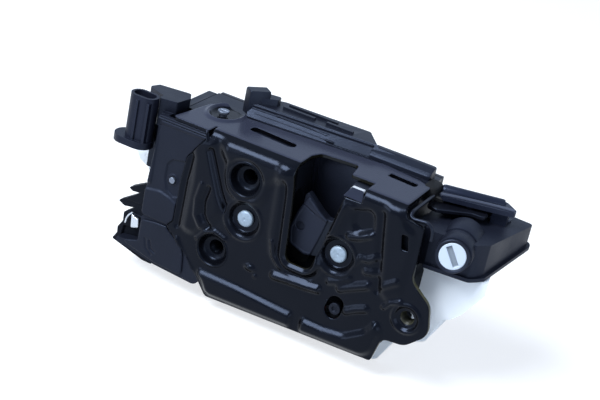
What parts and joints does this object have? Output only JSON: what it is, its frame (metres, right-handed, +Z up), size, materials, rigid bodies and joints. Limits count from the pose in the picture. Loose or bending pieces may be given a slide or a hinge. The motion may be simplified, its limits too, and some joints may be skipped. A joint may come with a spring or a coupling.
{
  "type": "car door lock",
  "caption": "Car door latch with a bent steel plate, turning catch in a striker mouth, motor actuator in a plastic housing, cable lever and plug socket.",
  "frame": {"origin": "centre of the upper fixing hole on the outer face of the latch plate", "axes": "+X along the plate to the ear, +Y into the door away from the latch face, +Z up towards the striker mouth's entry"},
  "size_m": [0.1947, 0.0629, 0.0995],
  "materials": {
    "black_coated_steel": "glossy black dip coat",
    "zinc_steel": "pale zinc",
    "claw_steel": "bare hardened steel",
    "dark_overmould": "dark overmoulded plastic",
    "spring_steel": "drawn wire",
    "soft_rubber": "matte",
    "white_gear_plastic": "satin",
    "worm_brass": "machined",
    "motor_steel": "plated can",
    "black_plastic": "fine grain",
    "white_cover_plastic": "satin translucent white",
    "bright_screw": "bright",
    "panel_plastic": "spark eroded grain",
    "block_plastic": "fine grain",
    "socket_plastic": "satin",
    "tinned_brass": "tinned",
    "bright_steel_clip": "bright",
    "side_box_plastic": "fine grain",
    "white_rotor_plastic": "satin white",
    "hood_plastic": "polished",
    "lever_plastic": "polished",
    "switch_plastic": "plain",
    "switch_button": "plain",
    "carrier_plastic": "plain"
  },
  "bodies": {
    "lock_body": {"actuator_housing": "black_plastic", "back_plate": "zinc_steel", "cable_bracket": "hood_plastic", "cable_clip": "black_plastic", "claw_rivet": "zinc_steel", "claw_spring": "spring_steel", "claw_switch": "switch_plastic", "connector_pins": "tinned_brass", "connector_socket": "socket_plastic", "contact_carrier": "carrier_plastic", "contact_strips": "tinned_brass", "cover_screws": "zinc_steel", "cover_seal": "soft_rubber", "flange_screw": "bright_screw", "inner_lever_pin": "black_coated_steel", "latch_frame": "black_plastic", "latch_plate": "black_coated_steel", "left_panel": "panel_plastic", "lock_pin": "zinc_steel", "lock_switch": "switch_plastic", "lower_guard": "panel_plastic", "motor_can": "motor_steel", "motor_cap": "black_plastic", "panel_pin": "bright_screw", "pawl_rivet": "zinc_steel", "pawl_spring": "spring_steel", "plate_screw": "bright_screw", "rear_cover": "white_cover_plastic", "release_pin": "zinc_steel", "side_block": "block_plastic", "side_housing": "side_box_plastic", "spring_clip": "bright_steel_clip", "striker_buffer": "soft_rubber", "top_clip": "black_plastic", "wheel_axle": "zinc_steel"},
    "claw": {"claw_core": "claw_steel", "claw_jacket": "dark_overmould"},
    "pawl": {"pawl_core": "claw_steel", "pawl_jacket": "dark_overmould"},
    "release_lever": {"release_lever": "zinc_steel"},
    "lock_lever": {"lock_lever": "zinc_steel"},
    "worm_wheel": {"worm_wheel": "white_gear_plastic"},
    "worm": {"worm": "worm_brass", "drive_shaft": "spring_steel"},
    "key_rotor": {"slotted_rotor": "white_rotor_plastic"},
    "inner_lever": {"inner_lever": "lever_plastic"},
    "claw_plunger": {"claw_plunger": "switch_button"},
    "lock_plunger": {"lock_plunger": "switch_button"}
  },
  "joints": [
    {"name": "claw_turn", "type": "hinge", "parent": "lock_body", "child": "claw", "pos_m": [0.051, 0.0084, -0.0185], "axis": [0, -1, 0], "range_deg": [0, 65], "stiffness_Nm_per_rad": 0.05, "springref_deg": -22.92},
    {"name": "pawl_turn", "type": "hinge", "parent": "lock_body", "child": "pawl", "pos_m": [0.0025, 0.0084, -0.02], "axis": [0, -1, 0], "range_deg": [-3, 12], "stiffness_Nm_per_rad": 0.1},
    {"name": "release_lever_turn", "type": "hinge", "parent": "lock_body", "child": "release_lever", "pos_m": [-0.026, 0.0212, -0.022], "axis": [0, -1, 0], "range_deg": [-1.2, 4.5]},
    {"name": "lock_lever_turn", "type": "hinge", "parent": "lock_body", "child": "lock_lever", "pos_m": [-0.008, 0.024, 0.005], "axis": [0, -1, 0], "range_deg": [-10.4, 10.4]},
    {"name": "worm_wheel_turn", "type": "hinge", "parent": "lock_body", "child": "worm_wheel", "pos_m": [-0.008, 0.036, -0.02], "axis": [0, -1, 0], "range_deg": [-40, 40]},
    {"name": "worm_turn", "type": "hinge", "parent": "lock_body", "child": "worm", "pos_m": [-0.008, 0.036, -0.0376], "axis": [1, 0, 0], "range_deg": [-1450, 1450]},
    {"name": "key_rotor_turn", "type": "hinge", "parent": "lock_body", "child": "key_rotor", "pos_m": [0.1014, 0.0052, 0.0002], "axis": [0.2036, -0.9671, 0.1527], "range_deg": [0, 90]},
    {"name": "inner_lever_turn", "type": "hinge", "parent": "lock_body", "child": "inner_lever", "pos_m": [0.094, 0.0374, 0.0095], "axis": [0, 0, 1], "range_deg": [0, 14], "stiffness_Nm_per_rad": 0.02, "springref_deg": -17.19},
    {"name": "claw_plunger_press", "type": "slide", "parent": "lock_body", "child": "claw_plunger", "axis": [0, 0, -1], "range_m": [0, 0.001], "stiffness_N_per_m": 200, "springref_m": -0.0005},
    {"name": "lock_plunger_press", "type": "slide", "parent": "lock_body", "child": "lock_plunger", "axis": [-1, 0, 0], "range_m": [0, 0.001], "stiffness_N_per_m": 200, "springref_m": -0.0005}
  ],
  "couplings": [
    {"joint": "release_lever_turn", "follows": "pawl_turn", "ratio": 0.36},
    {"joint": "lock_lever_turn", "follows": "worm_wheel_turn", "ratio": 0.257},
    {"joint": "worm_turn", "follows": "worm_wheel_turn", "ratio": -36}
  ]
}
